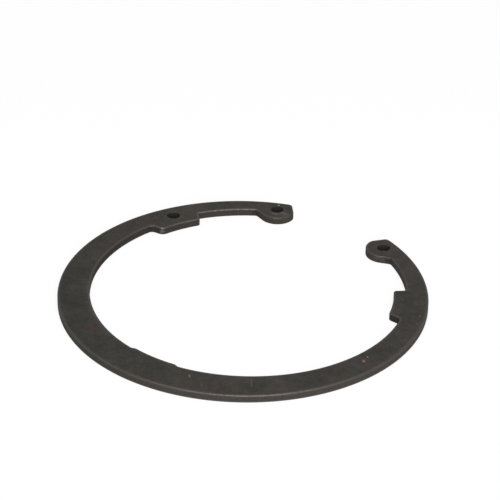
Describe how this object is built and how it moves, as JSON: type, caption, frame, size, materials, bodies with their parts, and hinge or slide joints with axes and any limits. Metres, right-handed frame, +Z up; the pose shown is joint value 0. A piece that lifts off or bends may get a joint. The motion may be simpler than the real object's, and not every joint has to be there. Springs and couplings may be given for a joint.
{
  "type": "circlip retaining ring",
  "caption": "Flat open retaining ring for a groove inside a bore, punched from dark spring steel, with plier holes in its lugs and a shallow tab inside each arm.",
  "frame": {"origin": "centre of the outer rim, on the underside", "axes": "+Z up through the thickness, +Y from the centre to the middle of the mouth, +X towards the lug on the side without a tab hole"},
  "size_m": [0.1, 0.0971, 0.0021],
  "materials": {
    "spring_steel": "phosphated dark grey, matte and slightly oily, with edges worn a little lighter"
  },
  "bodies": {
    "root": {"retaining_ring": "spring_steel"}
  },
  "joints": []
}
